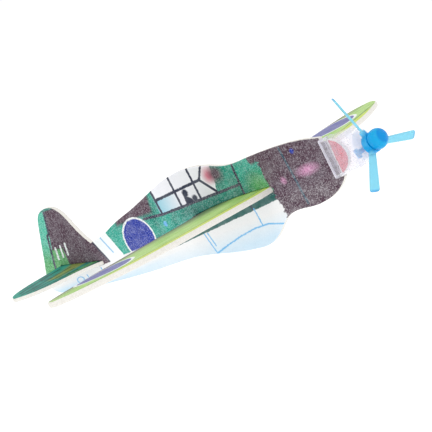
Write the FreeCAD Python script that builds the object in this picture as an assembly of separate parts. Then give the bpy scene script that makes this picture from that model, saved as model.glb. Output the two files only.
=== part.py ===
import FreeCAD, Part
import math
import os

# Slot-together foam glider with a clear nose cap and a free-spinning propeller.
# Millimetres, +X to the nose, +Y to the left wing, +Z up. Stations are measured from the
# wing's leading edge on the fuselage (x back, z up); DATUM shifts them to the part's
# origin, which is the middle of the footprint, level with the lowest point of the belly.

DATUM = FreeCAD.Vector(41.785, 0, 19.48)

# Foam sheet
FOAM_T = 2.1                # fuselage and wing sheet
TAIL_T = 1.7                # tailplane sheet
SLOT_GAP = 0.06             # gap between a slot and the sheet that passes through it

# Wing
HALF_SPAN = 93.2
ROOT_CHORD = 43.0
CAMBER = 1.0
FLAT_HALF = 7.0             # straight stretch of the wing that the slot holds
TIP_RISE = 3.3              # how far each tip is bent up
TIP_LEVEL = 3.2             # middle of the sheet at the tips
WING_ROLL = 0.8             # degrees, left tip up: the wing sits slack in its slot

# Tailplane
TAIL_ROOT = FreeCAD.Vector(-101.6, 0, -3.1)   # top of its leading edge, on the fuselage
TAIL_CHORD = 26.2
TAIL_PITCH = 9.4            # degrees, leading edge down

# Nose cap
CAP_BACK = 30.6
CAP_MOUTH = 33.4            # front end of the thicker mouth band
CAP_BOX_FRONT = 42.0        # where the box begins to turn into the round nose
CAP_DISC_BACK = 44.8
CAP_FRONT = 46.0
CAP_HALF_Y = 2.4
CAP_LOW = -5.2
CAP_HIGH = 8.6
CAP_WALL = 0.6
CAP_LIP = 0.25              # how far the mouth band stands out
CAP_DISC_R = 5.6
CAP_ROOM_HALF_Z = 4.6       # half-height of the hollow behind the round front
RIB_GAP = 0.06              # between the cap's ribs and the foam tab

# Propeller and its pin, which leans up from the fuselage line
PROP_CENTRE = FreeCAD.Vector(49.34, 0, 1.2)
PROP_TILT = 12.0
PIN_R = 0.80
BORE_R = 0.88
DRUM_R = 3.55
DRUM_HALF = 1.3
BOSS_R = 1.45
BOSS_REACH = 2.3            # boss behind the drum, from the drum's middle
BALL_R = 3.6
BALL_AHEAD = 3.1            # ball's centre, from the drum's middle
BALL_FLAT = 1.5             # ball's flat back, from the drum's middle
PIN_TAIL = 7.9              # pin's inner end, from the drum's middle
PIN_HEAD_T = 0.7
PIN_HEAD_LONG = 3.4
PIN_HEAD_WIDE = 1.9
BLADE_TIP_R = 19.8
BLADE_COUNT = 3
FIRST_BLADE = 104.5         # degrees from +Y towards +Z
BLADE_CONE = 3.9            # blades lean forward
BLADE_PITCH = 47.0
BLADE_T = 0.85
BLADE_ROOT_W = 2.3
BLADE_TIP_W = 3.3
COLLAR_R = 1.15
COLLAR_END = 4.9

X = FreeCAD.Vector(1, 0, 0)
Y = FreeCAD.Vector(0, 1, 0)
Z = FreeCAD.Vector(0, 0, 1)


def point(x, z, y=0.0):
    return FreeCAD.Vector(x, y, z)


def curve(points):
    """One smooth edge through (x, z) stations in the side view."""
    spline = Part.BSplineCurve()
    spline.interpolate([point(x, z) for x, z in points])
    return spline.toShape()


def line(start, end):
    return Part.LineSegment(point(*start), point(*end)).toShape()


def slab(wire, thickness):
    """A side-view outline, cut from sheet centred on y = 0."""
    solid = Part.Face(wire).extrude(Y * thickness)
    solid.translate(Y * (-thickness / 2))
    return solid


def box(x0, x1, y0, y1, z0, z1):
    return Part.makeBox(x1 - x0, y1 - y0, z1 - z0, FreeCAD.Vector(x0, y0, z0))


# ---- Wing -------------------------------------------------------------------------

def camber_height(x):
    u = -x / ROOT_CHORD
    return CAMBER * 4 * u * (1 - u)


def wing_profile(grow):
    """The bent sheet's section, front to back, thickened by grow on every side."""
    stations = (grow, -ROOT_CHORD / 2, -ROOT_CHORD - grow)
    top = [point(x, camber_height(x) + grow) for x in stations]
    bottom = [point(x, camber_height(x) - FOAM_T - grow) for x in reversed(stations)]
    edges = [Part.Arc(*top).toShape(), Part.LineSegment(top[2], bottom[0]).toShape(),
             Part.Arc(*bottom).toShape(), Part.LineSegment(bottom[2], top[0]).toShape()]
    return Part.Face(Part.Wire(edges))


def planform(leading, tip, trailing, height):
    """A prism over both halves of a sheet's outline, from y stations on one side."""
    half = leading + [tip] + trailing
    faces = []
    for side in (1, -1):
        front = Part.BSplineCurve()
        front.interpolate([FreeCAD.Vector(x, side * y, -height) for y, x in leading + [tip]])
        rear = Part.BSplineCurve()
        rear.interpolate([FreeCAD.Vector(x, side * y, -height) for y, x in [tip] + trailing])
        root = Part.LineSegment(FreeCAD.Vector(half[-1][1], 0, -height),
                                FreeCAD.Vector(half[0][1], 0, -height)).toShape()
        faces.append(Part.Face(Part.Wire([front.toShape(), rear.toShape(), root])))
    prisms = [face.extrude(Z * (2 * height)) for face in faces]
    return prisms[0].fuse(prisms[1]).removeSplitter()


def make_wing():
    leading = [(0, 0), (29, -1.9), (53.5, -3.6), (70, -6.0), (82, -10.3), (89.8, -15.0)]
    tip = (HALF_SPAN, -20.5)
    trailing = [(90.4, -26.4), (80, -31.6), (60.5, -36.6), (34, -40.2), (0, -ROOT_CHORD)]
    section = wing_profile(0.0)
    sheet = section.extrude(Y * (2 * FLAT_HALF))
    sheet.translate(Y * -FLAT_HALF)
    reach = HALF_SPAN - FLAT_HALF + 1
    for side in (1, -1):
        panel = section.copy()
        panel.translate(Y * (side * FLAT_HALF))
        sheet = sheet.fuse(panel.extrude(FreeCAD.Vector(0, side * reach, TIP_RISE)))
    wing = sheet.common(planform(leading, tip, trailing, 20)).removeSplitter()
    wing.rotate(FreeCAD.Vector(0, 0, TIP_LEVEL), X, WING_ROLL)
    return wing


# ---- Tailplane ----------------------------------------------------------------------

def place_tail(shape):
    """Turns a level plate, its leading edge at the origin, into its slot."""
    shape.rotate(FreeCAD.Vector(0, 0, 0), Y, TAIL_PITCH)
    shape.translate(TAIL_ROOT)
    return shape


def make_tailplane():
    leading = [(0, 0), (8, -4.6), (17, -7.4), (25, -10.3), (31, -14.6)]
    tip = (34.4, -18.8)
    trailing = [(32, -22.6), (26, -25.0), (14, -25.9), (0, -TAIL_CHORD)]
    plate = planform(leading, tip, trailing, TAIL_T / 2)
    plate.translate(Z * (-TAIL_T / 2))
    return place_tail(plate)


# ---- Fuselage -----------------------------------------------------------------------

def fuselage_outline():
    nose_top = curve([(30.2, 9.6), (20, 11.6), (8, 12.6), (-6, 12.8), (-16, 13.2), (-22, 14.9),
                      (-30, 17.0), (-40, 17.8), (-50, 16.8), (-60, 14.5), (-72, 11.6),
                      (-84, 9.2), (-95, 6.2)])
    notch = line((-95, 6.2), (-103.5, 5.2))
    fin_front = curve([(-103.5, 5.2), (-106.5, 9.6), (-109, 14.5), (-111.2, 19.4), (-115, 23.8),
                       (-120, 25.2), (-125.2, 24.0), (-129, 18.8), (-133, 11), (-136.6, 4),
                       (-139.4, -2.6), (-139.0, -7.0), (-135, -9.4)])
    belly = curve([(-135, -9.4), (-120, -11.2), (-105, -12.5), (-90, -13.4), (-72, -14.1),
                   (-54, -14.4), (-42, -15.8), (-30, -18.0), (-20, -19.2), (-14, -19.4),
                   (-8.5, -17.9), (-3.5, -14.9), (1, -12.2), (7, -11.1), (15, -11.7),
                   (22, -11.2), (28, -9.4), (31.6, -7.2), (33.6, -4.9)])
    shin = line((33.6, -4.9), (33.6, -4.4))
    tab = curve([(33.6, -4.4), (36.6, -2.6), (38.3, 0.2), (38.2, 3.2), (36.4, 6.0), (33.4, 7.8)])
    shoulder = line((33.4, 7.8), (30.2, 7.8))
    step = line((30.2, 7.8), (30.2, 9.6))
    return Part.Wire([nose_top, notch, fin_front, belly, shin, tab, shoulder, step])


def make_fuselage():
    body = slab(fuselage_outline(), FOAM_T)
    wing_slot = wing_profile(SLOT_GAP).extrude(Y * (4 * FOAM_T))
    wing_slot.translate(Y * (-2 * FOAM_T))
    tail_slot = place_tail(box(-TAIL_CHORD - SLOT_GAP, SLOT_GAP, -2 * FOAM_T, 2 * FOAM_T,
                               -TAIL_T - SLOT_GAP, SLOT_GAP))
    sleeve_slit = box(CAP_BACK - 0.4, 40, -FOAM_T, FOAM_T, CAP_LOW - CAP_LIP - 0.1, -4.4)
    return body.cut(wing_slot).cut(tail_slot).cut(sleeve_slit)


# ---- Nose cap -----------------------------------------------------------------------

def rounded_frame(x, grow, corner):
    """The cap's rounded rectangle at station x, grown by grow."""
    low, high = CAP_LOW - grow, CAP_HIGH + grow
    half = CAP_HALF_Y + grow
    block = box(x, x + 1, -half, half, low, high)
    edges = [edge for edge in block.Edges if abs(edge.BoundBox.XLength - 1) < 1e-6]
    block = block.makeFillet(corner, edges)
    face = min(block.Faces, key=lambda f: f.CenterOfMass.x)
    return face.OuterWire


def sleeve(x0, x1, grow, corner):
    return Part.Face(rounded_frame(x0, grow, corner)).extrude(X * (x1 - x0))


def pin_axis():
    turn = math.radians(PROP_TILT)
    return FreeCAD.Vector(math.cos(turn), 0, math.sin(turn))


def along_pin(distance):
    return PROP_CENTRE + pin_axis() * distance


def rod(start, end, radius):
    """A round bar on the pin's axis, between two distances from the drum's middle."""
    return Part.makeCylinder(radius, end - start, along_pin(start), pin_axis())


def make_nose_cap():
    middle_z = (CAP_LOW + CAP_HIGH) / 2
    shell = sleeve(CAP_BACK, CAP_BOX_FRONT, 0, 0.5)
    shell = shell.fuse(sleeve(CAP_BACK, CAP_MOUTH, CAP_LIP, 0.6))
    round_wire = Part.Wire(Part.makeCircle(CAP_DISC_R, point(CAP_DISC_BACK, middle_z), X))
    blend = Part.makeLoft([rounded_frame(CAP_BOX_FRONT, 0, 0.5), round_wire], True, True)
    disc = Part.makeCylinder(CAP_DISC_R, CAP_FRONT - CAP_DISC_BACK, point(CAP_DISC_BACK, middle_z), X)
    shell = shell.fuse([blend, disc])
    hollow = sleeve(CAP_BACK - 1, CAP_BOX_FRONT, -CAP_WALL, 0.2)
    room_y = CAP_HALF_Y - CAP_WALL
    front_room = box(CAP_BOX_FRONT - 0.2, CAP_DISC_BACK - 0.2, -room_y, room_y,
                     middle_z - CAP_ROOM_HALF_Z, middle_z + CAP_ROOM_HALF_Z)
    shell = shell.cut(hollow).cut(front_room)
    rib_inner = FOAM_T / 2 + RIB_GAP
    for side in (1, -1):
        for z in (CAP_LOW + 3.2, CAP_HIGH - 3.6):
            ends = sorted((side * rib_inner, side * (CAP_HALF_Y - CAP_WALL / 2)))
            shell = shell.fuse(box(CAP_BACK + 0.6, CAP_BOX_FRONT - 3, ends[0], ends[1], z, z + 0.6))
    return shell.cut(rod(-9, 0, PIN_R + 0.02)).removeSplitter()


# ---- Propeller and pin ----------------------------------------------------------------

def make_pin():
    shaft = rod(-PIN_TAIL, BALL_FLAT + 0.5, PIN_R)
    ball = Part.makeSphere(BALL_R, along_pin(BALL_AHEAD))
    behind = Part.makeCylinder(2 * BALL_R, 4 * BALL_R, along_pin(BALL_FLAT), pin_axis() * -1)
    head = box(-PIN_HEAD_T, 0, -PIN_HEAD_WIDE / 2, PIN_HEAD_WIDE / 2, -PIN_HEAD_LONG / 2,
               PIN_HEAD_LONG / 2)
    head.rotate(FreeCAD.Vector(0, 0, 0), Y, -PROP_TILT)
    head.translate(along_pin(-PIN_TAIL + PIN_HEAD_T))
    return shaft.fuse([ball.cut(behind), head]).removeSplitter()


def make_blade():
    """One blade along +Y, its chord along +Z, its root on the hub's middle."""
    tip_round = 1.1
    root = (0.8 * DRUM_R, BLADE_ROOT_W / 2)
    end = (BLADE_TIP_R, BLADE_TIP_W / 2 - tip_round)
    corner = (BLADE_TIP_R - 0.3 * tip_round, BLADE_TIP_W / 2 - 0.3 * tip_round)
    shoulder = (BLADE_TIP_R - tip_round, BLADE_TIP_W / 2)
    half_t = BLADE_T / 2

    def at(station, side):
        return FreeCAD.Vector(-half_t, station[0], side * station[1])

    edges = [Part.LineSegment(at(root, -1), at(root, 1)).toShape(),
             Part.LineSegment(at(root, 1), at(shoulder, 1)).toShape(),
             Part.Arc(at(shoulder, 1), at(corner, 1), at(end, 1)).toShape(),
             Part.LineSegment(at(end, 1), at(end, -1)).toShape(),
             Part.Arc(at(end, -1), at(corner, -1), at(shoulder, -1)).toShape(),
             Part.LineSegment(at(shoulder, -1), at(root, -1)).toShape()]
    plate = Part.Face(Part.Wire(edges)).extrude(X * BLADE_T)
    plate.rotate(FreeCAD.Vector(0, 0, 0), Y, BLADE_PITCH)
    collar = Part.makeCylinder(COLLAR_R, COLLAR_END - 0.8 * DRUM_R,
                               FreeCAD.Vector(0, 0.8 * DRUM_R, 0), Y)
    return plate.fuse(collar)


def make_propeller():
    drum = rod(-DRUM_HALF, DRUM_HALF, DRUM_R)
    rims = [edge for edge in drum.Edges if edge.Curve.TypeId == "Part::GeomCircle"]
    drum = drum.makeFillet(0.35, rims)
    hub = drum.fuse(rod(-BOSS_REACH, 0, BOSS_R))
    for number in range(BLADE_COUNT):
        blade = make_blade()
        blade.rotate(FreeCAD.Vector(0, 0, 0), Z, -BLADE_CONE)
        blade.rotate(FreeCAD.Vector(0, 0, 0), X, FIRST_BLADE - number * 360 / BLADE_COUNT)
        blade.rotate(FreeCAD.Vector(0, 0, 0), Y, -PROP_TILT)
        blade.translate(PROP_CENTRE)
        hub = hub.fuse(blade)
    return hub.cut(rod(-9, 9, BORE_R)).removeSplitter()


# ---- Export -------------------------------------------------------------------------

NODES = {
    "fuselage": make_fuselage,
    "wing": make_wing,
    "tailplane": make_tailplane,
    "nose_cap": make_nose_cap,
    "propeller": make_propeller,
    "prop_pin": make_pin,
}

os.makedirs("parts", exist_ok=True)
for name, maker in NODES.items():
    shape = maker()
    shape.translate(DATUM)
    shape.exportStep("parts/" + name + ".step")
    extent = shape.optimalBoundingBox()
    print(name, "solids", len(shape.Solids), "valid", shape.isValid(),
          "volume", round(shape.Volume, 1),
          "x", round(extent.XMin, 2), round(extent.XMax, 2),
          "y", round(extent.YMin, 2), round(extent.YMax, 2),
          "z", round(extent.ZMin, 2), round(extent.ZMax, 2))
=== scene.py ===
import math
import bmesh
import bpy
import numpy as np
from mathutils import Matrix, Vector, noise
from mathutils.geometry import delaunay_2d_cdt


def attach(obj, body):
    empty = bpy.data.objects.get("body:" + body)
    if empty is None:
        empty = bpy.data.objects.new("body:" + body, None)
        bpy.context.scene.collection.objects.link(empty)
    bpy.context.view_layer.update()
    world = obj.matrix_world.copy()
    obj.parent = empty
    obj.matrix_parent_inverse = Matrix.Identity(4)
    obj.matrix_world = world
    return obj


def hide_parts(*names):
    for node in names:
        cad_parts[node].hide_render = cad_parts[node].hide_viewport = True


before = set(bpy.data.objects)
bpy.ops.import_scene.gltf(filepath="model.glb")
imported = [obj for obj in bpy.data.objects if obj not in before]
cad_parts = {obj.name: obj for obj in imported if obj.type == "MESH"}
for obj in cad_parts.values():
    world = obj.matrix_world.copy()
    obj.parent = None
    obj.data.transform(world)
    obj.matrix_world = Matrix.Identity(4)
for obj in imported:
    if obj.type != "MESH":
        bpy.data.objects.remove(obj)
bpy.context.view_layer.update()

MM = 0.001

# The wing's leading edge at the fuselage, in millimetres from the part's origin. Every
# station below is measured from there: x forward, y to the left wing, z up.
DATUM_X = 41.785
DATUM_Z = 19.48

# Foam sheets. The three edge radii are for the fuselage, the wing and the tailplane.
FOAM_T = 2.1
TAIL_T = 1.7
SLOT_GAP = 0.06
BODY_ROUND = 0.34
WING_ROUND = 0.7
TAIL_ROUND = 0.5
EDGE_DENT = 0.10
EDGE_SWELL = 0.03
OUTLINE_STEP = 0.7
FACE_GRID = 1.6
SAME_POINT = 0.02

# Wing
HALF_SPAN = 93.2
ROOT_CHORD = 43.0
CAMBER = 1.0
FLAT_HALF = 7.0
TIP_RISE = 3.3
TIP_LEVEL = 3.2
WING_ROLL = math.radians(0.8)

# Tailplane
TAIL_ROOT = (-101.6, -3.1)
TAIL_CHORD = 26.2
TAIL_PITCH = math.radians(9.4)

# Propeller and pin
PROP_CENTRE = (49.34, 1.2)
PROP_TILT = math.radians(12.0)
PIN_R = 0.80
BORE_R = 0.88
POLE_R = 0.004
DRUM_R = 3.55
DRUM_HALF = 1.3
DRUM_EDGE = 0.35
DRUM_FACE_R = 2.0
BOSS_R = 1.45
BOSS_REACH = 2.3
BOSS_EDGE = 0.2
BOSS_GROOVE = 0.15
BALL_R = 3.6
BALL_AHEAD = 3.1
BALL_FLAT = 1.5
PIN_TAIL = 7.9
PIN_HEAD = (0.7, 1.9, 3.4)
PIN_HEAD_EDGE = 0.18

# Blades, along their own length. Width grows from the root by its gain, and thickness grows
# towards the root by its own.
BLADES = 3
FIRST_BLADE = 104.5
BLADE_CONE = 3.9
BLADE_PITCH = 47.0
BLADE_ROOT_R = 0.72 * DRUM_R
BLADE_TIP_R = 19.8
BLADE_TIP_ROUND = 1.0
BLADE_ROOT_W = 2.2
BLADE_GAIN_W = 1.1
BLADE_TIP_T = 0.62
BLADE_GAIN_T = 0.26
BLADE_AROUND = 28
COLLAR_R = 1.12
COLLAR_REACH = 5.15
COLLAR_EDGE = 0.2
COLLAR_CORE_R = 0.02

# Places of the thicker walls of the clear cap, as stations along x
CAP_LIP = (30.75, 31.05)
CAP_STEP = (33.1, 33.3, 33.5, 33.7)
CAP_FRONT = (38.0, 44.0)


def rgb(red, green, blue):
    """Display values from 0 to 255 as a linear colour."""
    return tuple((c / 255 / 12.92) if c <= 10 else ((c / 255 + 0.055) / 1.055) ** 2.4
                 for c in (red, green, blue)) + (1.0,)


# ---- Outlines -----------------------------------------------------------------------

def spline(points):
    """Evenly spaced points on a natural cubic spline through the given ones."""
    knots = np.array(points, float)
    count = len(knots)
    chord = np.concatenate([[0], np.cumsum(np.linalg.norm(np.diff(knots, axis=0), axis=1))])
    gap = np.diff(chord)
    system = np.eye(count)
    rhs = np.zeros_like(knots)
    for i in range(1, count - 1):
        system[i, i - 1] = gap[i - 1]
        system[i, i] = 2 * (gap[i - 1] + gap[i])
        system[i, i + 1] = gap[i]
        slope_after = (knots[i + 1] - knots[i]) / gap[i]
        slope_before = (knots[i] - knots[i - 1]) / gap[i - 1]
        rhs[i] = 6 * (slope_after - slope_before)
    bend = np.linalg.solve(system, rhs)
    out = []
    for t in np.linspace(0, chord[-1], max(2, int(chord[-1] / OUTLINE_STEP)) + 1):
        i = min(int(np.searchsorted(chord, t, side="right")) - 1, count - 2)
        a, b = (chord[i + 1] - t), (t - chord[i])
        out.append(bend[i] * a ** 3 / (6 * gap[i]) + bend[i + 1] * b ** 3 / (6 * gap[i])
                   + (knots[i] / gap[i] - bend[i] * gap[i] / 6) * a
                   + (knots[i + 1] / gap[i] - bend[i + 1] * gap[i] / 6) * b)
    return np.array(out)


def straight(start, end):
    """Evenly spaced points from start to end."""
    start, end = np.array(start, float), np.array(end, float)
    pieces = max(1, int(np.linalg.norm(end - start) / OUTLINE_STEP))
    return start + (end - start) * np.linspace(0, 1, pieces + 1)[:, None]


def closed(*runs):
    """Joins runs end to end into one loop, anticlockwise, with no point twice."""
    loop = []
    for run in runs:
        for p in run:
            if not loop or np.linalg.norm(p - loop[-1]) > SAME_POINT:
                loop.append(p)
    if np.linalg.norm(loop[0] - loop[-1]) < SAME_POINT:
        loop.pop()
    loop = np.array(loop)
    ahead = np.roll(loop, -1, axis=0)
    area = np.sum(loop[:, 0] * ahead[:, 1] - ahead[:, 0] * loop[:, 1]) / 2
    return loop if area > 0 else loop[::-1]


def camber_height(x):
    """Height of the wing's top above its ends at a station along the chord."""
    u = -x / ROOT_CHORD
    return CAMBER * 4 * u * (1 - u)


def fuselage_outline():
    """The side view, with a slit below the nose tab for the cap's lower wall."""
    seat, shoulder, slit_top, slit_bottom = 30.2, 7.8, -4.4, -5.55
    top = spline([(seat, 9.6), (20, 11.6), (8, 12.6), (-6, 12.8), (-16, 13.2), (-22, 14.9),
                  (-30, 17.0), (-40, 17.8), (-50, 16.8), (-60, 14.5), (-72, 11.6),
                  (-84, 9.2), (-95, 6.2)])
    notch = straight((-95, 6.2), (-103.5, 5.2))
    fin = spline([(-103.5, 5.2), (-106.5, 9.6), (-109, 14.5), (-111.2, 19.4), (-115, 23.8),
                  (-120, 25.2), (-125.2, 24.0), (-129, 18.8), (-133, 11), (-136.6, 4),
                  (-139.4, -2.6), (-139.0, -7.0), (-135, -9.4)])
    belly = spline([(-135, -9.4), (-120, -11.2), (-105, -12.5), (-90, -13.4), (-72, -14.1),
                    (-54, -14.4), (-42, -15.8), (-30, -18.0), (-20, -19.2), (-14, -19.4),
                    (-8.5, -17.9), (-3.5, -14.9), (1, -12.2), (7, -11.1), (15, -11.7),
                    (22, -11.2), (28, -9.4), (31.6, -7.2), (33.3, slit_bottom)])
    slit = [straight((33.3, slit_bottom), (seat, slit_bottom)),
            straight((seat, slit_bottom), (seat, slit_top)),
            straight((seat, slit_top), (33.6, slit_top))]
    tab = spline([(33.6, slit_top), (36.6, -2.6), (38.3, 0.2), (38.2, 3.2), (36.4, 6.0),
                  (33.4, shoulder)])
    step = [straight((33.4, shoulder), (seat, shoulder)),
            straight((seat, shoulder), (seat, 9.6))]
    return closed(top, notch, fin, belly, *slit, tab, *step)


def wing_slot():
    """The wing's section grown by the slot clearance."""
    stations = np.linspace(SLOT_GAP, -ROOT_CHORD - SLOT_GAP, 40)
    top = np.array([(x, camber_height(x) + SLOT_GAP) for x in stations])
    bottom = np.array([(x, camber_height(x) - FOAM_T - SLOT_GAP) for x in stations[::-1]])
    return closed(top, bottom)


def tail_point(along, lift):
    """A point of the pitched tailplane in the side view."""
    cos, sin = math.cos(TAIL_PITCH), math.sin(TAIL_PITCH)
    return (TAIL_ROOT[0] + along * cos + lift * sin, TAIL_ROOT[1] - along * sin + lift * cos)


def tail_slot():
    """The tailplane's pitched section grown by the slot clearance."""
    low, high = -TAIL_T - SLOT_GAP, SLOT_GAP
    corners = [(SLOT_GAP, high), (-TAIL_CHORD - SLOT_GAP, high),
               (-TAIL_CHORD - SLOT_GAP, low), (SLOT_GAP, low)]
    corners = [tail_point(*corner) for corner in corners]
    return closed(*[straight(corners[i], corners[(i + 1) % 4]) for i in range(4)])


def both_halves(leading, tip, trailing):
    """A planform loop in (x, y) from one half's (y, x) stations, root to tip and back."""
    front = spline([(x, y) for y, x in leading + [tip]])
    rear = spline([(x, y) for y, x in [tip] + trailing])
    half = np.vstack([front, rear[1:]])
    other = half[::-1] * (1, -1)
    return closed(half, other)


def wing_outline():
    return both_halves([(0, 0), (29, -1.9), (53.5, -3.6), (70, -6.0), (82, -10.3),
                        (89.8, -15.0)],
                       (HALF_SPAN, -20.5),
                       [(90.4, -26.4), (80, -31.6), (60.5, -36.6), (34, -40.2), (0, -ROOT_CHORD)])


def tail_outline():
    return both_halves([(0, 0), (8, -4.6), (17, -7.4), (25, -10.3), (31, -14.6)],
                       (34.4, -18.8), [(32, -22.6), (26, -25.0), (14, -25.9), (0, -TAIL_CHORD)])


# ---- Meshes -------------------------------------------------------------------------

def new_object(name, verts, faces):
    """A smooth-shaded mesh object whose normals face out."""
    mesh = bpy.data.meshes.new(name)
    mesh.from_pydata([tuple(v) for v in verts], [], faces)
    mesh.validate()
    work = bmesh.new()
    work.from_mesh(mesh)
    bmesh.ops.recalc_face_normals(work, faces=work.faces)
    work.to_mesh(mesh)
    work.free()
    mesh.polygons.foreach_set("use_smooth", [True] * len(mesh.polygons))
    piece = bpy.data.objects.new(name, mesh)
    bpy.context.scene.collection.objects.link(piece)
    return piece


def inward(loop):
    """Unit vectors into the material along a loop; holes run clockwise."""
    before, after = np.roll(loop, 1, axis=0), np.roll(loop, -1, axis=0)
    run = after - before
    run /= np.linalg.norm(run, axis=1)[:, None]
    return np.stack([-run[:, 1], run[:, 0]], axis=1)


def dented(loop):
    """Pushes a cut edge in and out a little, as soft foam gets from handling."""
    push = inward(loop)
    out = loop.copy()
    for i, p in enumerate(loop):
        small = noise.noise(Vector((p[0] * 0.9, p[1] * 0.9, 3.1)))
        large = noise.noise(Vector((p[0] * 0.17, p[1] * 0.17, 8.4)))
        out[i] += push[i] * EDGE_DENT * (0.6 * small + max(0.0, large))
    return out


def inside(points, loop):
    """True for each point inside the loop."""
    result = np.zeros(len(points), bool)
    ahead = np.roll(loop, -1, axis=0)
    for (ax, ay), (bx, by) in zip(loop, ahead):
        crosses = (ay > points[:, 1]) != (by > points[:, 1])
        with np.errstate(divide="ignore", invalid="ignore"):
            at = (bx - ax) * (points[:, 1] - ay) / (by - ay) + ax
        result ^= crosses & (points[:, 0] < at)
    return result


def nearest(points, loop):
    """Each point's distance to the nearest point of the loop."""
    return np.min(np.linalg.norm(points[:, None, :] - loop[None, :, :], axis=2), axis=1)


def edge_rings(half, rounding):
    """(inset, lift) steps over a rounded edge, from the side wall on to the flat face."""
    rings = [(0.0, half - rounding)]
    for angle in range(15, 91, 15):
        turn = math.radians(angle)
        rings.append((rounding * (1 - math.cos(turn)),
                      half - rounding + rounding * math.sin(turn)))
    rings.append((1.7 * rounding, half))
    return rings


def face_field(outer, rims):
    """Staggered points over the face, clear of its rims: the outer one, then any holes."""
    low, high = outer.min(axis=0), outer.max(axis=0)
    xs = np.arange(low[0] + 0.5 * FACE_GRID, high[0], FACE_GRID)
    ys = np.arange(low[1] + 0.5 * FACE_GRID, high[1], FACE_GRID)
    field = np.array([(x + (0.5 * FACE_GRID if row % 2 else 0), y)
                      for row, y in enumerate(ys) for x in xs])
    keep = inside(field, rims[0]) & (nearest(field, rims[0]) > 0.6 * FACE_GRID)
    for rim in rims[1:]:
        keep &= ~inside(field, rim) & (nearest(field, rim) > 0.5 * FACE_GRID)
    return field[keep]


def face_triangles(rims, field):
    """Triangles over the face, and which rim or field point each of their points was."""
    points, edges = [], []
    for rim in rims:
        start = len(points)
        points += [Vector(p) for p in rim]
        edges += [(start + i, start + (i + 1) % len(rim)) for i in range(len(rim))]
    points += [Vector(p) for p in field]
    flat, _, triangles, source, _, _ = delaunay_2d_cdt(points, edges, [], 0, 1e-5)
    triangles = np.array(triangles)
    middles = np.array(flat)[triangles].mean(axis=1)
    solid = inside(middles, rims[0])
    for rim in rims[1:]:
        solid &= ~inside(middles, rim)
    return triangles[solid].tolist(), source


def foam_sheet(name, outer, holes, thickness, place, rounding):
    """A cut sheet with rounded edges: outer and holes are loops, and place(p, lift) puts a
    point of the sheet, lift above its middle, in the part's frame. The rim attribute is
    the distance in millimetres from the cut, on either face."""
    half = thickness / 2
    rings = edge_rings(half, rounding)
    verts, gaps, faces = [], [], []

    def add(p, lift, gap):
        verts.append(place(p, lift))
        gaps.append(gap)
        return len(verts) - 1

    rims = []
    known = {1: [], -1: []}
    for loop in [dented(outer)] + [hole[::-1] for hole in holes]:
        push = inward(loop)
        around = range(len(loop))
        rows = {side: [[add(loop[i] + push[i] * inset, side * lift, inset) for i in around]
                       for inset, lift in rings] for side in (1, -1)}
        middle = [add(loop[i] - push[i] * EDGE_SWELL, 0.0, 0.0) for i in around]
        strips = rows[1][::-1] + [middle] + rows[-1]
        for upper, lower in zip(strips, strips[1:]):
            for i in around:
                j = (i + 1) % len(loop)
                faces.append((upper[i], upper[j], lower[j], lower[i]))
        rims.append(loop + push * rings[-1][0])
        for side in (1, -1):
            known[side] += rows[side][-1]

    field = face_field(outer, rims)
    room = nearest(field, outer)
    triangles, source = face_triangles(rims, field)
    for side in (1, -1):
        known[side] += [add(p, side * half, min(3.0, gap)) for p, gap in zip(field, room)]
        lookup = [known[side][origin[0]] if origin else None for origin in source]
        for triangle in triangles:
            if all(lookup[i] is not None for i in triangle):
                faces.append(tuple(lookup[i] for i in triangle))
    piece = new_object(name, verts, faces)
    rim = piece.data.attributes.new("rim", "FLOAT", "POINT")
    rim.data.foreach_set("value", gaps)
    return piece


def from_datum(x, y, z):
    """A place measured from the datum, in metres in the part's frame."""
    return ((x + DATUM_X) * MM, y * MM, (z + DATUM_Z) * MM)


def ripple(p, height, scale, layer):
    """The slight waviness of a foam face."""
    return height * noise.noise(Vector((p[0] * scale[0], p[1] * scale[1], layer)))


def place_fuselage(p, lift):
    return from_datum(p[0], -lift + ripple(p, 0.05, (0.06, 0.08), 1.7), p[1])


def place_wing(p, lift):
    """Flat in its slot, cambered along the chord, raised towards the tips and rolled."""
    out = abs(p[1]) - FLAT_HALF
    rise = TIP_RISE / (HALF_SPAN - FLAT_HALF + 1) * 0.5 * (out + math.hypot(out, 2.0))
    wave = ripple(p, 0.05, (0.05, 0.05), 5.2) * min(1, abs(p[1]) / 20)
    height = camber_height(p[0]) - FOAM_T / 2 + rise + lift + wave - TIP_LEVEL
    cos, sin = math.cos(WING_ROLL), math.sin(WING_ROLL)
    return from_datum(p[0], p[1] * cos - height * sin, p[1] * sin + height * cos + TIP_LEVEL)


def place_tail(p, lift):
    x, z = tail_point(p[0], lift - TAIL_T / 2)
    wave = ripple(p, 0.06, (0.08, 0.08), 2.3) * min(1, abs(p[1]) / 8)
    return from_datum(x, p[1], z + wave)


PROP_FRAME = (Matrix.Translation(Vector(from_datum(PROP_CENTRE[0], 0, PROP_CENTRE[1])))
              @ Matrix.Rotation(-PROP_TILT, 4, "Y"))


def lathe(profile, around=72):
    """Verts and faces of a closed (distance, radius) profile turned about +X."""
    verts, faces = [], []
    count = len(profile)
    for k in range(around):
        angle = 2 * math.pi * k / around
        for along, radius in profile:
            verts.append((along, radius * math.cos(angle), radius * math.sin(angle)))
    for k in range(around):
        a, b = k * count, ((k + 1) % around) * count
        for i in range(count):
            j = (i + 1) % count
            faces.append((a + i, a + j, b + j, b + i))
    return verts, faces


def fillet(centre, radius, start, end, count=7):
    """Points on an arc of the profile, angles in degrees from +X towards the radius."""
    return [(centre[0] + radius * math.cos(t), centre[1] + radius * math.sin(t))
            for t in map(math.radians, np.linspace(start, end, count))]


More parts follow.
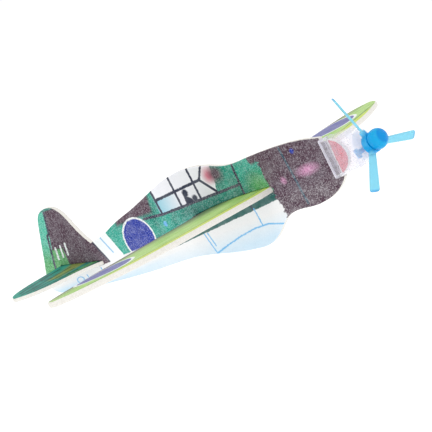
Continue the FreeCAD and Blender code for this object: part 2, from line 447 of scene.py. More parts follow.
def blade_mesh():
    """One blade along +Y with soft edges, its chord pitched about its own length."""
    verts, faces = [], []
    shoulder = BLADE_TIP_R - BLADE_TIP_ROUND
    tip_steps = np.sin(np.linspace(0.12, 1.0, 10) * math.pi / 2)
    stations = np.concatenate([np.linspace(BLADE_ROOT_R, shoulder, 24),
                               shoulder + BLADE_TIP_ROUND * tip_steps])
    pitch = math.radians(BLADE_PITCH)
    for station in stations:
        u = (station - BLADE_ROOT_R) / (BLADE_TIP_R - BLADE_ROOT_R)
        past = max(0.0, (station - shoulder) / BLADE_TIP_ROUND)
        left = math.sqrt(max(0.0, 1 - past ** 2))
        chord = BLADE_ROOT_W + BLADE_GAIN_W * min(1, u * 1.1) ** 0.8
        thick = BLADE_TIP_T + BLADE_GAIN_T * (1 - u)
        chord *= 0.5 + 0.5 * left
        thick *= 0.35 + 0.65 * left
        for k in range(BLADE_AROUND):
            angle = 2 * math.pi * k / BLADE_AROUND
            cos, sin = math.cos(angle), math.sin(angle)
            across = 0.5 * chord * math.copysign(abs(cos) ** 0.75, cos)
            deep = 0.5 * thick * math.copysign(abs(sin) ** 0.62, sin)
            x = deep * math.cos(pitch) + across * math.sin(pitch)
            z = -deep * math.sin(pitch) + across * math.cos(pitch)
            verts.append((x, station, z))
    for start in range(0, len(verts) - BLADE_AROUND, BLADE_AROUND):
        for k in range(BLADE_AROUND):
            a, b = start + k, start + (k + 1) % BLADE_AROUND
            faces.append((a, b, b + BLADE_AROUND, a + BLADE_AROUND))
    faces.append(tuple(range(BLADE_AROUND)))
    faces.append(tuple(range(len(verts) - BLADE_AROUND, len(verts))))
    return verts, faces


def solid(name, verts, faces, matrix):
    """An object from verts in millimetres, for joining into a moulding."""
    return new_object(name, [matrix @ (Vector(v) * MM) for v in verts], faces)


def joined(base, others):
    """Base with the other solids fused into it, which are then removed."""
    for other in others:
        tool = base.modifiers.new("join", "BOOLEAN")
        tool.operation = "UNION"
        tool.solver = "EXACT"
        tool.object = other
    bpy.context.view_layer.update()
    depsgraph = bpy.context.evaluated_depsgraph_get()
    done = bpy.data.meshes.new_from_object(base.evaluated_get(depsgraph))
    base.modifiers.clear()
    base.data = done
    for other in others:
        bpy.data.objects.remove(other)
    return base


def make_propeller():
    """Drum with a rear boss, and blades that grow out of the drum through round collars."""
    front = fillet((DRUM_HALF - DRUM_EDGE, DRUM_R - DRUM_EDGE), DRUM_EDGE, 0, 90)
    back = fillet((-DRUM_HALF + DRUM_EDGE, DRUM_R - DRUM_EDGE), DRUM_EDGE, 90, 180)
    boss = fillet((-BOSS_REACH + BOSS_EDGE, BOSS_R - BOSS_EDGE), BOSS_EDGE, 90, 180, 5)
    groove = [(-DRUM_HALF, BOSS_R + BOSS_GROOVE), (-DRUM_HALF - BOSS_GROOVE, BOSS_R)]
    profile = ([(DRUM_HALF, BORE_R), (DRUM_HALF, DRUM_FACE_R)] + front + back
               + groove + boss + [(-BOSS_REACH, BORE_R)])
    hub = solid("propeller_moulding", *lathe(profile), PROP_FRAME)
    collar_end = fillet((COLLAR_REACH - COLLAR_EDGE, COLLAR_R - COLLAR_EDGE), COLLAR_EDGE,
                        90, 0, 5)
    collar = ([(BLADE_ROOT_R, COLLAR_CORE_R), (BLADE_ROOT_R, COLLAR_R)] + collar_end
              + [(COLLAR_REACH, COLLAR_CORE_R)])
    parts = []
    for number in range(BLADES):
        spin = math.radians(FIRST_BLADE - 360 / BLADES * number)
        turn = (PROP_FRAME @ Matrix.Rotation(spin, 4, "X")
                @ Matrix.Rotation(math.radians(-BLADE_CONE), 4, "Z"))
        lay = turn @ Matrix.Rotation(math.radians(90), 4, "Z")
        parts.append(solid("blade", *blade_mesh(), turn))
        parts.append(solid("collar", *lathe(collar, 32), lay))
    return joined(hub, parts)


def make_pin():
    """Ball with a flat back, shank and flat inner head."""
    flat_r = math.sqrt(BALL_R ** 2 - (BALL_AHEAD - BALL_FLAT) ** 2)
    start = math.degrees(math.atan2(flat_r, BALL_FLAT - BALL_AHEAD))
    dome = fillet((BALL_AHEAD, 0), BALL_R, start - 2, 0.6, 40)
    rim = [(BALL_FLAT, PIN_R), (BALL_FLAT, flat_r - 0.15)]
    inner = -PIN_TAIL + 0.2
    shank = [(BALL_AHEAD + BALL_R, POLE_R), (inner, POLE_R), (inner, PIN_R)]
    pin = solid("ball_pin", *lathe(shank + rim + dome, 96), PROP_FRAME)
    thick, wide, tall = PIN_HEAD
    work = bmesh.new()
    bmesh.ops.create_cube(work, size=1.0, matrix=Matrix.Diagonal((thick, wide, tall, 1)))
    bmesh.ops.bevel(work, geom=work.edges[:], offset=PIN_HEAD_EDGE, segments=3,
                    affect="EDGES", profile=0.5)
    verts = [tuple(v.co + Vector((-PIN_TAIL + thick / 2, 0, 0))) for v in work.verts]
    faces = [tuple(v.index for v in f.verts) for f in work.faces]
    work.free()
    return joined(pin, [solid("head", verts, faces, PROP_FRAME)])


# ---- Shader building ----------------------------------------------------------------

class Paint:
    """A material's nodes, built with short calls that each return a socket."""

    def __init__(self, name, **settings):
        self.material = bpy.data.materials.new(name)
        self.material.use_nodes = True
        self.tree = self.material.node_tree
        self.shader = self.tree.nodes["Principled BSDF"]
        for key, value in settings.items():
            self.shader.inputs[key.replace("_", " ")].default_value = value
        self.count = 0

    def add(self, kind, inputs=(), **settings):
        node = self.tree.nodes.new(kind)
        node.location = (-220 * (1 + self.count // 12), -160 * (self.count % 12))
        self.count += 1
        for key, value in settings.items():
            setattr(node, key, value)
        for key, value in dict(inputs).items():
            self.put(node.inputs[key], value)
        return node

    def set(self, name, value):
        """Drives an input of the shader."""
        self.put(self.shader.inputs[name], value)

    def put(self, socket, value):
        if isinstance(value, bpy.types.NodeSocket):
            self.tree.links.new(value, socket)
        else:
            socket.default_value = value

    def math(self, operation, a, b=0.0, c=0.0, clamp=False):
        node = self.add("ShaderNodeMath", {0: a, 1: b, 2: c}, operation=operation, use_clamp=clamp)
        return node.outputs[0]

    def vector(self, operation, a, b=(0, 0, 0), out=0):
        node = self.add("ShaderNodeVectorMath", {0: a, 1: b}, operation=operation)
        return node.outputs[out]

    def split(self, vector):
        return self.add("ShaderNodeSeparateXYZ", {0: vector}).outputs

    def flat(self, first, second):
        return self.add("ShaderNodeCombineXYZ", {"X": first, "Y": second}).outputs[0]

    def millimetres(self):
        """The object's own place in millimetres."""
        place = self.add("ShaderNodeTexCoord").outputs["Object"]
        return self.vector("MULTIPLY", place, (1000, 1000, 1000))

    def noise(self, scale, vector, detail=2.0, rough=0.5, distort=0.0):
        node = self.add("ShaderNodeTexNoise", {"Vector": vector, "Scale": scale, "Detail": detail,
                                               "Roughness": rough, "Distortion": distort})
        return node.outputs["Fac"]

    def ramp(self, value, low, high, start=0.0, end=1.0):
        node = self.add("ShaderNodeMapRange", {"Value": value, "From Min": low, "From Max": high,
                                               "To Min": start, "To Max": end}, clamp=True)
        return node.outputs["Result"]

    def fade(self, value, low, high, amount=1.0):
        """Nothing at low, up to amount at high."""
        return self.ramp(value, low, high, 0, amount)

    def mix(self, amount, a, b):
        node = self.add("ShaderNodeMix", data_type="RGBA")
        self.put(node.inputs["Factor"], amount)
        self.put(node.inputs[6], a)
        self.put(node.inputs[7], b)
        return node.outputs[2]

    def both(self, *masks):
        out = masks[0]
        for mask in masks[1:]:
            out = self.math("MINIMUM", out, mask)
        return out

    def either(self, *masks):
        out = masks[0]
        for mask in masks[1:]:
            out = self.math("MAXIMUM", out, mask)
        return out

    def glow(self, p, centre, near, far, amount=1.0):
        """Amount within near of the centre, out to nothing at far."""
        away = self.vector("DISTANCE", p, (centre[0], centre[1], 0), out=1)
        return self.ramp(away, near, far, amount, 0)

    def disc(self, p, centre, radius, soft=0.2):
        return self.glow(p, centre, radius - soft / 2, radius + soft / 2)

    def oval(self, p, centre, scale):
        """Distance from the centre with each axis scaled."""
        offset = self.vector("SUBTRACT", p, (centre[0], centre[1], 0))
        scaled = self.vector("MULTIPLY", offset, (scale[0], scale[1], 0))
        return self.vector("LENGTH", scaled, out=1)

    def side(self, p, a, b, soft=0.2):
        """1 on the left of the line from a to b."""
        run = Vector((b[0] - a[0], b[1] - a[1])).normalized()
        left = (-run.y, run.x, 0)
        level = left[0] * a[0] + left[1] * a[1]
        along = self.vector("DOT_PRODUCT", p, left, out=1)
        return self.math("MULTIPLY_ADD", along, 1 / soft, 0.5 - level / soft, clamp=True)

    def patch(self, p, corners, soft=0.2):
        """1 inside a convex patch whose corners run anticlockwise."""
        edges = zip(corners, corners[1:] + corners[:1])
        return self.both(*[self.side(p, a, b, soft) for a, b in edges])

    def stroke(self, p, a, b, half, soft=0.2):
        """1 within half of the line from a to b."""
        run = (b[0] - a[0], b[1] - a[1], 0)
        size = run[0] ** 2 + run[1] ** 2
        offset = self.vector("SUBTRACT", p, (a[0], a[1], 0))
        along = self.vector("DOT_PRODUCT", offset, run, out=1)
        share = self.math("MULTIPLY", along, 1 / size, clamp=True)
        spot = self.add("ShaderNodeVectorMath", {0: run, "Scale": share}, operation="SCALE")
        away = self.vector("DISTANCE", offset, spot.outputs[0], out=1)
        return self.ramp(away, half - soft / 2, half + soft / 2, 1, 0)

    def strokes(self, p, paths, half, soft=0.2):
        marks = [self.stroke(p, a, b, half, soft)
                 for path in paths for a, b in zip(path, path[1:])]
        return self.either(*marks)

    def layers(self, base, *coats):
        """The base colour with (mask, colour) coats laid over it in turn."""
        colour = base
        for mask, coat in coats:
            colour = self.mix(mask, colour, coat)
        return colour

    def relief(self, strength, depth, height):
        bump = self.add("ShaderNodeBump", {"Strength": strength, "Distance": depth,
                                           "Height": height})
        self.set("Normal", bump.outputs[0])


def stations(paint, across):
    """The object's place in millimetres from the datum as (x, z, 0) for a side view, or
    (x, y, 0) for a plan view, and the plain millimetre place for textures."""
    scaled = paint.millimetres()
    moved = paint.vector("SUBTRACT", scaled, (DATUM_X, 0, DATUM_Z))
    parts = paint.split(moved)
    wobble = paint.math("SUBTRACT", paint.noise(1.3, scaled, 2.0), 0.5)
    first = paint.math("MULTIPLY_ADD", wobble, 0.7, parts["X"])
    second = paint.math("MULTIPLY_ADD", wobble, -0.6, parts[across])
    return paint.flat(first, second), scaled, parts


def foam_finish(paint, ink, scaled, speck_light, speck_dark, speck_amount, wear=0.1, bare_to=0.0):
    """Prints ink on the faces, leaves the cut edges bare foam, and adds the foam's cells.
    The bare foam reaches bare_to millimetres on to the face, more or less by wear."""
    fine = paint.noise(2.5, scaled, 1.0, 0.6)
    specks = paint.fade(fine, 0.51, 0.63, speck_amount)
    dark = paint.fade(fine, 0.47, 0.34, speck_amount)
    mottle = paint.noise(0.22, scaled, 3.0, 0.55)
    tint = paint.mix(0.5, ink, speck_light)
    ink = paint.mix(specks, paint.mix(dark, ink, speck_dark), tint)
    ink = paint.mix(paint.fade(mottle, 0.35, 0.75, 0.12), ink, speck_light)
    rim = paint.add("ShaderNodeAttribute", attribute_name="rim").outputs["Fac"]
    ragged = paint.noise(2.0, scaled, 2.0)
    ragged = paint.math("MULTIPLY_ADD", ragged, wear, bare_to - wear / 3)
    bare = paint.ramp(paint.math("SUBTRACT", rim, ragged), 0.0, 0.03, 1, 0)
    cells = paint.add("ShaderNodeTexVoronoi", {"Vector": scaled, "Scale": 1.9}, feature="F1")
    cells = cells.outputs[0]
    foam = paint.mix(paint.ramp(cells, 0.2, 0.75), FOAM_LIGHT, FOAM_DARK)
    paint.set("Base Color", paint.mix(bare, ink, foam))
    paint.set("Roughness", paint.ramp(bare, 0, 1, 0.5, 0.8))
    height = paint.math("MULTIPLY_ADD", cells, -0.6, paint.math("MULTIPLY", fine, 0.5))
    paint.relief(0.35, 0.00012, height)
    return paint.material


# ---- Prints -------------------------------------------------------------------------

# Places are in millimetres from the datum: (x, z) on the fuselage, and (x, y) on the left
# half of the wing and tailplane, which the right half mirrors.

FOAM_LIGHT = rgb(232, 230, 224)
FOAM_DARK = rgb(222, 219, 212)

TEAL = rgb(0, 130, 112)
TEAL_PALE = rgb(40, 172, 150)
TEAL_DEEP = rgb(18, 84, 78)
LEAF = rgb(84, 168, 92)
BROWN = rgb(78, 50, 66)
NAVY = rgb(40, 46, 68)
CANOPY = rgb(234, 234, 240)
CANOPY_CYAN = rgb(92, 184, 204)
CANOPY_ROSE = rgb(206, 112, 134)
ROUNDEL = rgb(8, 44, 158)
RING = rgb(236, 240, 240)
BELLY = rgb(230, 230, 229)
BELLY_BLUE = rgb(200, 222, 236)
BELLY_TAIL = rgb(184, 220, 240)
LINE_BLUE = rgb(96, 176, 224)
ROSE = rgb(222, 84, 98)
BLUSH = rgb(214, 150, 190)
PANEL = rgb(52, 84, 100)
STRIP = rgb(34, 92, 86)
RUDDER = rgb(76, 190, 162)
BODY_SPECK = rgb(206, 208, 214)
BELLY_SPECK = rgb(244, 246, 248)
BODY_SPECK_DARK = rgb(34, 32, 44)

LIME = rgb(150, 196, 92)
LIME_PALE = rgb(182, 214, 128)
WING_FRONT = rgb(196, 214, 84)
# Painted shade on the wing's top next to the fuselage, strongest towards the trailing edge
WING_ROOT_SHADE = rgb(34, 84, 48)
WING_REAR = rgb(112, 140, 78)
WING_EDGE = rgb(92, 78, 76)
WING_LINE = rgb(84, 104, 50)
WING_FLAP = rgb(70, 90, 60)
WING_DISC = rgb(92, 92, 164)
UNDER_DISC = rgb(96, 108, 180)
WING_SPECK = rgb(226, 232, 208)
WING_SPECK_DARK = rgb(60, 84, 48)

TAIL_GREEN = rgb(12, 108, 100)
TAIL_GREEN_PALE = rgb(34, 150, 132)
TAIL_STREAK = rgb(140, 150, 66)
TAIL_STREAK_FRONT = rgb(96, 158, 92)
TAIL_RIB = rgb(12, 32, 42)
TAIL_EDGE = rgb(22, 56, 56)
TAIL_SPECK = rgb(120, 190, 172)
TAIL_SPECK_DARK = rgb(14, 40, 44)

BODY_DISC_AT = (-75.2, -0.3)
WING_DISC_AT = (-22.5, 66.8)


def body_grounds(paint, p, scaled, x, z):
    """The teal of the upper body and the pale belly, each shaded along its length."""
    drift = paint.noise(0.12, scaled, 2.0)
    teal = paint.layers(
        TEAL, (paint.ramp(drift, 0.35, 0.65), TEAL_PALE),
        (paint.fade(x, -66, -90, 0.75), TEAL_PALE),
        (paint.both(paint.fade(z, 7, 2, 0.5), paint.fade(x, -50, -30)), TEAL_DEEP),
        (paint.glow(p, (-4, 1), 2, 8, 0.9), LEAF))
    belly = paint.layers(
        BELLY, (paint.fade(z, -9, -17), BELLY_BLUE),
        (paint.both(paint.fade(z, -10, -13), paint.fade(x, -55, -90)), BELLY_BLUE),
        (paint.both(paint.fade(z, -6.5, -9.5), paint.fade(x, -98, -108)), BELLY_TAIL))
    return teal, belly


def canopy_coats(paint, p, x):
    """Canopy with its frames and pilot, the dark back behind it, and the body's disc."""
    brown_back = paint.patch(p, [(-84, 7.5), (-62, 7.4), (-60, 15.5), (-84, 14)], 1.6)
    canopy = paint.both(
        paint.patch(p, [(-58, 5.2), (-25.4, 5.2), (-21.5, 16), (-58, 24)]),
        paint.side(p, (-24.6, 5), (-22.5, 18), 0.3))
    inside_low = paint.both(canopy, paint.side(p, (-30, 11.6), (-60, 11.2)))
    cyan = paint.both(inside_low, paint.fade(x, -44, -57, 0.8))
    rose_spot = paint.glow(p, (-25.4, 12.2), 1, 4.2)
    dark_spot = paint.glow(p, (-21.8, 11.8), 1.4, 4.6)
    seat = [(-42.6, 5), (-36.4, 5), (-38.6, 6.6), (-40.2, 9.6), (-42.2, 9.4)]
    pilot = paint.either(paint.disc(p, (-40.8, 9.4), 1.5, 0.6),
                         paint.disc(p, (-37.2, 6.4), 1.3, 0.6), paint.patch(p, seat, 0.5))
    frames = paint.strokes(p, [
        [(-57.6, 15.4), (-57.1, 5.2)], [(-45.6, 18), (-45.6, 5.2)], [(-34.6, 18.2), (-34.4, 5.2)],
        [(-57.2, 11.0), (-46, 11.4), (-31, 11.9)], [(-31, 11.9), (-26.6, 17.2)],
        [(-31, 11.9), (-25.2, 5.6)], [(-68, 6.2), (-56, 5.1), (-13, 4.9)],
        [(-12.5, 13.4), (-13.2, 0.8)]], 0.55)
    ring = paint.disc(p, BODY_DISC_AT, 9.0)
    disc = paint.disc(p, BODY_DISC_AT, 8.2)
    spot = paint.disc(p, (-58, 1.5), 1.1)
    coats = [(brown_back, BROWN), (canopy, CANOPY), (cyan, CANOPY_CYAN),
             (rose_spot, CANOPY_ROSE), (dark_spot, BROWN), (paint.both(pilot, canopy), NAVY),
             (frames, NAVY), (ring, RING), (disc, ROUNDEL), (spot, LINE_BLUE)]
    return coats, canopy


def fin_coats(paint, p):
    """The pale band ahead of the fin, and the fin with its rudder, cap and three bars."""
    band = paint.patch(p, [(-97.2, -5.6), (-88.4, -5.6), (-88.2, -3.2), (-92.6, 8.2),
                           (-103, 8.2)])
    band_line = paint.strokes(p, [[(-96.8, 6.6), (-93.2, -1.4)]], 0.3, 0.5)
    fin = paint.both(paint.side(p, (-96.8, -5.2), (-102.6, 7.5)),
                     paint.side(p, (-141, -4.6), (-90, -4.6)))
    fin_edge = paint.both(fin, paint.strokes(p, [[(-102.9, 7.5), (-97.2, -4.9)]], 0.5))
    rudder = paint.both(fin, paint.side(p, (-131.8, -2), (-119.5, 27)))
    leaf = paint.both(rudder, paint.glow(p, (-134, 1), 3, 12, 0.9))
    patch = paint.patch(p, [(-132, -3), (-121.5, -3), (-121, 7.5), (-129, 8.5)], 1.0)
    hinge = paint.both(fin, paint.strokes(p, [
        [(-120.9, 25), (-124.6, 15.2)], [(-126.2, 14.4), (-131.6, -1)],
        [(-124.6, 15.2), (-126.2, 14.4)]], 0.55))
    cap = paint.both(fin, paint.side(p, (-127, 24.4), (-111, 23.9), 0.6))
    bars = paint.strokes(p, [[(-126.2, 4.0), (-125.0, 8.6)], [(-122.8, 4.2), (-121.6, 8.8)],
                             [(-119.4, 4.4), (-118.2, 9.0)]], 0.5)
    coats = [(band, RING), (band_line, LINE_BLUE), (fin, BROWN), (fin_edge, NAVY),
             (rudder, RUDDER), (leaf, LEAF), (paint.both(patch, fin), LEAF), (hinge, NAVY),
             (cap, TEAL), (paint.both(bars, fin), RING)]
    return coats, band


def belly_coats(paint, p):
    """The dark strip under the wing root and the thin panel lines of the belly."""
    strip = paint.patch(p, [(-74, -9.6), (-8, -5.5), (1.5, -5.0), (1.8, -1.6), (-16, -1.6)])
    strip_tick = paint.strokes(p, [[(-13.4, -2.2), (-12.8, -5.2)]], 0.4)
    lines = paint.strokes(p, [
        [(-39.4, -15.8), (-32, -14.2), (-24, -12.8), (-16, -11.9), (-9, -12.0), (-2, -13.8)],
        [(-12.2, -5.2), (-11.8, -12.0)], [(-41.4, -7.4), (-39.6, -15.6)],
        [(-39.6, -7.6), (-38.4, -13.0)]], 0.28, 0.35)
    off_oval = paint.math("SUBTRACT", paint.oval(p, (-119.4, -7.2), (0.55, 1)), 1.2)
    oval = paint.ramp(paint.math("ABSOLUTE", off_oval), 0.12, 0.34, 0.8, 0)
    ticks = paint.strokes(p, [[(-114.4, -6.2), (-113.8, -8.0)],
                              [(-104.4, -5.4), (-104.0, -7.4)]], 0.25)
    return [(strip, STRIP), (strip_tick, NAVY), (lines, LINE_BLUE), (oval, LINE_BLUE),
            (ticks, LINE_BLUE)]


def nose_coats(paint, p, scaled, x, z):
    """The dark nose with its ragged rear edge, its marks, and the rose front."""
    ragged = paint.math("MULTIPLY_ADD", paint.noise(0.45, scaled, 3.0, 0.6), 5.0, -2.5)
    along = paint.flat(paint.math("ADD", x, ragged), z)
    nose = paint.either(paint.side(along, (-1.6, 16), (0.4, -4), 0.5),
                        paint.disc(p, (-3.0, 13.0), 3.2, 1.2))
    nose = paint.both(nose, paint.side(along, (-8, 30), (1.6, -14), 0.5))
    blush = paint.ramp(paint.oval(p, (19.5, 1), (0.5, 1.3)), 0.2, 3.4, 0.95, 0)
    blush_small = paint.glow(p, (7, 0.4), 0.3, 1.8, 0.7)
    panel = paint.strokes(p, [[(11.6, 11.6), (12.8, -10)]], 0.42, 0.4)
    mark = paint.disc(p, (16.5, 8.9), 0.9, 0.6)
    rose = paint.side(p, (33.6, 9), (33.2, -6), 0.4)
    rose_line = paint.strokes(p, [[(33.3, 8.6), (33.0, -4.6)]], 0.22)
    coats = [(nose, BROWN), (paint.both(blush, nose), BLUSH), (blush_small, BLUSH),
             (panel, PANEL), (mark, ROUNDEL), (rose, ROSE), (rose_line, RING)]
    return coats, nose


def fuselage_material():
    paint = Paint("printed_foam_fuselage", Specular_IOR_Level=0.15)
    p, scaled, at = stations(paint, "Z")
    x, z = at["X"], at["Z"]
    teal, belly = body_grounds(paint, p, scaled, x, z)
    waterline = paint.side(p, (-140, -4.4), (40, -2.6))
    on_body, canopy = canopy_coats(paint, p, x)
    on_fin, band = fin_coats(paint, p)
    on_nose, nose = nose_coats(paint, p, scaled, x, z)
    colour = paint.layers(paint.mix(waterline, belly, teal), *on_body)
    colour = paint.mix(waterline, belly, colour)
    colour = paint.layers(colour, *on_fin, *belly_coats(paint, p), *on_nose)
    speck = paint.mix(paint.fade(z, -3, -6), BODY_SPECK, BELLY_SPECK)
    dark_ink = paint.math("SUBTRACT", paint.either(waterline, nose),
                          paint.either(canopy, band), clamp=True)
    amount = paint.math("MULTIPLY_ADD", dark_ink, 0.50, 0.04)
    return foam_finish(paint, colour, scaled, speck, BODY_SPECK_DARK, amount)


def half_plan(paint):
    """Places on a half of the plan view as (x, distance from the middle, 0), that distance,
    and the plain millimetre place."""
    p, scaled, at = stations(paint, "Y")
    span = paint.math("ABSOLUTE", at["Y"])
    return paint.flat(paint.split(p)[0], span), span, scaled


def two_faces(paint, top, under):
    """The top print where the surface looks up, and the under print below."""
    normal = paint.add("ShaderNodeTexCoord").outputs["Normal"]
    return paint.mix(paint.ramp(paint.split(normal)["Z"], -0.1, 0.1), under, top)


def wing_material():
    paint = Paint("printed_foam_wing", Specular_IOR_Level=0.15)
    half, span, scaled = half_plan(paint)
    drift = paint.noise(0.10, paint.vector("MULTIPLY", scaled, (2.2, 0.6, 1)), 3.0)
    lime = paint.mix(paint.ramp(drift, 0.36, 0.66), LIME, LIME_PALE)
    front = paint.math("SUBTRACT", 1.0, paint.side(half, (-4.2, 0), (-9.4, 76), 0.8))
    rear = paint.side(half, (-22, 0), (-24, 84), 11.0)
    edge = paint.side(half, (-35.6, 0), (-27.4, 80), 4.5)
    # Painted shade: the wing's top gets darker towards the fuselage, most towards the trailing
    # edge (root times rear)
    root = paint.ramp(span, 44, 8, 0, 0.85)
    line = paint.strokes(half, [[(-4.4, 0), (-7.0, 55), (-12, 84)]], 0.32, 0.4)
    flap_lines = [[(-33, 6), (-29.5, 62)], [(-29.5, 62), (-37, 62)], [(-26, 62), (-22, 90)]]
    flap = paint.strokes(half, flap_lines, 0.3, 0.4)
    ring = paint.disc(half, WING_DISC_AT, 11.4)
    disc = paint.disc(half, WING_DISC_AT, 10.1)
    top = paint.layers(
        lime, (front, WING_FRONT), (paint.math("MULTIPLY", root, rear), WING_ROOT_SHADE),
        (paint.math("MULTIPLY", rear, 0.6), WING_REAR), (edge, WING_EDGE), (line, WING_LINE),
        (flap, WING_FLAP), (ring, RING), (disc, WING_DISC))
    hatch_lines = [[(-8, 14), (-8, 40), (-20, 40), (-20, 14), (-8, 14)]]
    under_line = paint.strokes(half, flap_lines + hatch_lines, 0.25, 0.4)
    under = paint.layers(BELLY, (paint.ramp(drift, 0.45, 0.7, 0, 0.5), BELLY_BLUE),
                         (under_line, LINE_BLUE), (ring, LINE_BLUE), (disc, UNDER_DISC))
    colour = two_faces(paint, top, under)
    return foam_finish(paint, colour, scaled, WING_SPECK, WING_SPECK_DARK, 0.25,
                       wear=0.2, bare_to=0.42)


def tail_material():
    paint = Paint("printed_foam_tailplane", Specular_IOR_Level=0.15)
    half, _, scaled = half_plan(paint)
    drift = paint.noise(0.14, scaled, 3.0)
    green = paint.mix(paint.ramp(drift, 0.38, 0.62), TAIL_GREEN, TAIL_GREEN_PALE)
    streak = paint.patch(half, [(-121, 0), (-112, 0), (-113, 16), (-117, 18)], 2.2)
    streak_front = paint.patch(half, [(-108, 0), (-104, 0), (-109, 14), (-110.5, 14)], 1.4)
    ribs = paint.strokes(half, [[(-118, 4), (-119, 31)], [(-113.5, 6), (-116.5, 30)],
                                [(-123.5, 5), (-122, 29)], [(-109.5, 8), (-114, 28)]], 0.5, 0.6)
    edge = paint.math("SUBTRACT", 1.0, paint.side(half, (-107, 9), (-112.6, 27), 0.8))
    top = paint.layers(green, (streak, TAIL_STREAK), (streak_front, TAIL_STREAK_FRONT),
                       (ribs, TAIL_RIB), (edge, TAIL_EDGE))
    under = paint.layers(BELLY, (paint.ramp(drift, 0.45, 0.7, 0, 0.5), BELLY_BLUE),
                         (ribs, LINE_BLUE))
    colour = two_faces(paint, top, under)
    return foam_finish(paint, colour, scaled, TAIL_SPECK, TAIL_SPECK_DARK, 0.3,
                       wear=0.1, bare_to=0.15)


# ---- Plastics -----------------------------------------------------------------------

HAZE_LIGHT = rgb(238, 236, 245)
HAZE_DARK = rgb(222, 222, 235)
HUB_BLUE = rgb(0, 172, 238)
BLADE_BLUE = rgb(146, 224, 246)
PIN_BLUE = rgb(0, 162, 234)
BALL_BLUE = rgb(26, 184, 240)
BALL_POLE_BLUE = rgb(0, 142, 226)
BLADE_END_BLUE = rgb(0, 150, 226)
POLE_AHEAD = 6.3


def clear_material():
    """Thin clear walls with a milky haze, denser in the lip, the step and the round front."""
    paint = Paint("clear_moulded_plastic", Roughness=0.12, IOR=1.45)
    scaled = paint.millimetres()
    x = paint.split(scaled)["X"]
    haze = paint.noise(0.35, scaled, 3.0, 0.6)
    streak = paint.noise(0.9, paint.vector("MULTIPLY", scaled, (1, 0.25, 0.25)), 2.0)
    paint.set("Base Color", paint.mix(paint.ramp(haze, 0.3, 0.7), HAZE_LIGHT, HAZE_DARK))
    lip = paint.ramp(x, DATUM_X + CAP_LIP[1], DATUM_X + CAP_LIP[0], 0, 0.6)
    step = paint.both(paint.ramp(x, DATUM_X + CAP_STEP[0], DATUM_X + CAP_STEP[1]),
                      paint.ramp(x, DATUM_X + CAP_STEP[3], DATUM_X + CAP_STEP[2]))
    front = paint.ramp(x, DATUM_X + CAP_FRONT[0], DATUM_X + CAP_FRONT[1], 0, 0.16)
    cloud = paint.math("ADD", haze, paint.math("MULTIPLY", streak, 0.5))
    body = paint.ramp(cloud, 0.5, 1.0, 0.12, 0.26)
    edges = paint.math("ADD", lip, paint.math("MULTIPLY", step, 0.25))
    thick = paint.math("ADD", edges, front)
    paint.set("Alpha", paint.math("ADD", body, thick, clamp=True))
    paint.relief(0.05, 0.0002, haze)
    return paint.material


def blue_material(name, core, outer):
    """Translucent blue moulding: core colour at the hub, outer colour beyond it, deeper
    again at the ball's front and the blade ends."""
    paint = Paint(name, IOR=1.40, Transmission_Weight=0.3, Specular_IOR_Level=0.12)
    scaled = paint.millimetres()
    centre = (PROP_CENTRE[0] + DATUM_X, 0, PROP_CENTRE[1] + DATUM_Z)
    nose = (centre[0] + POLE_AHEAD * math.cos(PROP_TILT), 0,
            centre[2] + POLE_AHEAD * math.sin(PROP_TILT))
    away = paint.vector("DISTANCE", scaled, centre, out=1)
    pole = paint.vector("DISTANCE", scaled, nose, out=1)
    cloud = paint.noise(0.45, scaled, 3.0, 0.6)
    reach = paint.math("MULTIPLY_ADD", cloud, 1.6, away)
    colour = paint.mix(paint.ramp(reach, 4.2, 6.6), core, outer)
    colour = paint.mix(paint.ramp(pole, 2.9, 2.3, 0, 0.7), colour, BALL_POLE_BLUE)
    end = paint.ramp(away, BLADE_TIP_R - 1.0, BLADE_TIP_R + 0.1, 0, 0.75)
    colour = paint.mix(end, colour, BLADE_END_BLUE)
    paint.set("Base Color", colour)
    paint.set("Roughness", paint.ramp(cloud, 0.3, 0.7, 0.12, 0.26))
    paint.relief(0.04, 0.0002, cloud)
    return paint.material


# ---- Object -------------------------------------------------------------------------

def finish_piece(piece, material, body, node):
    """Paints a piece, hangs it on its body's empty and hides the CAD node it stands for."""
    piece.data.materials.clear()
    piece.data.materials.append(material)
    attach(piece, body)
    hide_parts(node)


def build_object():
    fuselage = foam_sheet("foam_fuselage_sheet", fuselage_outline(), [wing_slot(), tail_slot()],
                          FOAM_T, place_fuselage, BODY_ROUND)
    finish_piece(fuselage, fuselage_material(), "body", "fuselage")
    wing = foam_sheet("foam_wing_sheet", wing_outline(), [], FOAM_T, place_wing, WING_ROUND)
    finish_piece(wing, wing_material(), "wing", "wing")
    tail = foam_sheet("foam_tailplane_sheet", tail_outline(), [], TAIL_T, place_tail,
                      TAIL_ROUND)
    finish_piece(tail, tail_material(), "tail", "tailplane")
    propeller = make_propeller()
    finish_piece(propeller, blue_material("blue_moulding", HUB_BLUE, BLADE_BLUE),
                 "propeller", "propeller")
    pin = make_pin()
    finish_piece(pin, blue_material("blue_pin_moulding", PIN_BLUE, BALL_BLUE),
                 "cap", "prop_pin")
    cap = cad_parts["nose_cap"]
    clear = clear_material()
    for slot in cap.material_slots:
        slot.material = clear


# ---- Stage --------------------------------------------------------------------------

CAMERA_AZIMUTH = math.radians(46.51)
CAMERA_HEIGHT = math.radians(5.351)
CAMERA_ROLL = math.radians(26.647)
CAMERA_DISTANCE = 550.0
CAMERA_LENS = 130.69
CAMERA_OFFSET = (19.744, 10.570)     # datum from the middle of the view, right and up, mm

FLOOR_Z = -0.25
FLOOR_HALF = 6.0
FLOOR_GLOW = 0.2
WORLD_STRENGTH = 1.03
WHITE = (1, 1, 1, 1)


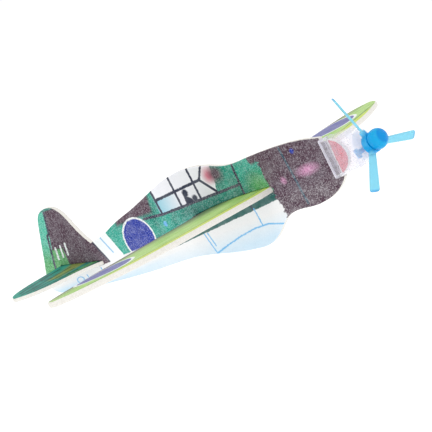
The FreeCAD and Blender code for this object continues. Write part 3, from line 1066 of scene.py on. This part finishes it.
def build_camera():
    """Looks at the object from its right front with the nose up, as the photo does."""
    cos_h, sin_h = math.cos(CAMERA_HEIGHT), math.sin(CAMERA_HEIGHT)
    back = Vector((math.sin(CAMERA_AZIMUTH) * cos_h, -math.cos(CAMERA_AZIMUTH) * cos_h, sin_h))
    level = Vector((math.cos(CAMERA_AZIMUTH), math.sin(CAMERA_AZIMUTH), 0))
    rise = back.cross(level)
    right = level * math.cos(CAMERA_ROLL) - rise * math.sin(CAMERA_ROLL)
    up = level * math.sin(CAMERA_ROLL) + rise * math.cos(CAMERA_ROLL)
    datum = Vector((DATUM_X, 0, DATUM_Z))
    spot = datum + back * CAMERA_DISTANCE - right * CAMERA_OFFSET[0] - up * CAMERA_OFFSET[1]
    data = bpy.data.cameras.new("camera")
    data.lens = CAMERA_LENS
    data.sensor_width = 36
    data.clip_start = 0.01
    data.clip_end = 50
    camera = bpy.data.objects.new("camera", data)
    turn = Matrix((right, up, back)).transposed().to_4x4()
    camera.matrix_world = Matrix.Translation(spot * MM) @ turn
    bpy.context.scene.collection.objects.link(camera)
    bpy.context.scene.camera = camera


def area_light(name, place, target, size, power):
    data = bpy.data.lights.new(name, "AREA")
    data.shape = "DISK"
    data.size = size
    data.energy = power
    light = bpy.data.objects.new(name, data)
    light.location = place
    aim = Vector(target) - Vector(place)
    light.rotation_euler = aim.to_track_quat("-Z", "Y").to_euler()
    bpy.context.scene.collection.objects.link(light)


def build_stage():
    """A white floor well below the object, a white sky and two soft lamps."""
    mesh = bpy.data.meshes.new("floor")
    work = bmesh.new()
    bmesh.ops.create_grid(work, x_segments=4, y_segments=4, size=FLOOR_HALF)
    work.to_mesh(mesh)
    work.free()
    floor = bpy.data.objects.new("floor", mesh)
    floor.location = (0, 0, FLOOR_Z)
    bpy.context.scene.collection.objects.link(floor)
    paint = Paint("floor_white", Roughness=0.9, Emission_Color=WHITE,
                  Emission_Strength=FLOOR_GLOW)
    place = paint.add("ShaderNodeTexCoord").outputs["Object"]
    tone = paint.noise(0.6, place, 2.0)
    paint.set("Base Color", paint.mix(tone, rgb(250, 250, 250), rgb(254, 254, 254)))
    floor.data.materials.append(paint.material)
    world = bpy.data.worlds.new("studio")
    world.use_nodes = True
    background = world.node_tree.nodes["Background"]
    background.inputs["Color"].default_value = WHITE
    background.inputs["Strength"].default_value = WORLD_STRENGTH
    bpy.context.scene.world = world
    area_light("key", (0.5, -0.7, 0.9), (0, 0, 0), 0.5, 1.6)
    area_light("fill", (-0.6, -0.5, 0.3), (0, 0, 0), 0.6, 0.3)
    bpy.context.scene.view_settings.view_transform = "Standard"


build_object()
build_camera()
build_stage()
